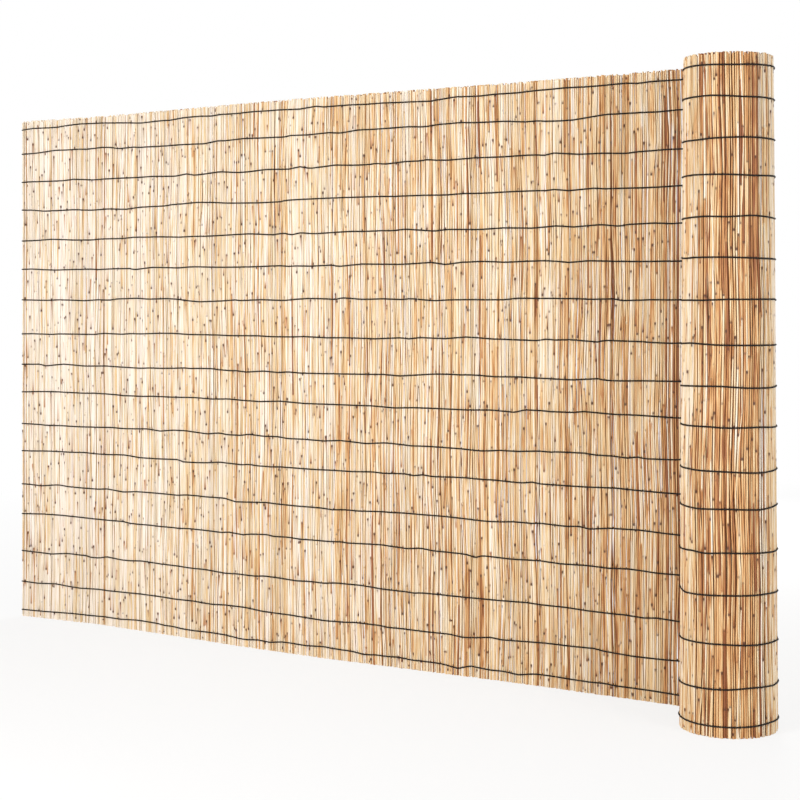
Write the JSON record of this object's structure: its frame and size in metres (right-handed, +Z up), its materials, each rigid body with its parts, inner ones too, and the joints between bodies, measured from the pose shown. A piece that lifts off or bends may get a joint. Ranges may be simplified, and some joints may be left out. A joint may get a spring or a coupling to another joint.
{
  "type": "reed screening roll",
  "caption": "Roll of natural reed screening standing on its end and partly unrolled, upright reeds bound by rows of thin black wire.",
  "frame": {"origin": "on the roll's axis, at the level of the reeds' lower ends", "axes": "+Z up along the roll's bore, -X along the unrolled screen, +Y towards the face of the screen that is outermost on the roll"},
  "size_m": [3.2051, 0.336, 2],
  "materials": {
    "rolled_reed": "dry, unsealed",
    "open_reed": "dry, unsealed",
    "binding_wire": "satin"
  },
  "bodies": {
    "root": {"inner_turns": "rolled_reed", "roll_turn_reeds": "rolled_reed", "screen_reeds_1": "open_reed", "screen_reeds_2": "open_reed", "screen_reeds_3": "open_reed", "wire_01": "binding_wire", "wire_02": "binding_wire", "wire_03": "binding_wire", "wire_04": "binding_wire", "wire_05": "binding_wire", "wire_06": "binding_wire", "wire_07": "binding_wire", "wire_08": "binding_wire", "wire_09": "binding_wire", "wire_10": "binding_wire", "wire_11": "binding_wire", "wire_12": "binding_wire", "wire_13": "binding_wire", "wire_14": "binding_wire", "wire_15": "binding_wire", "wire_16": "binding_wire", "wire_17": "binding_wire"}
  },
  "joints": []
}
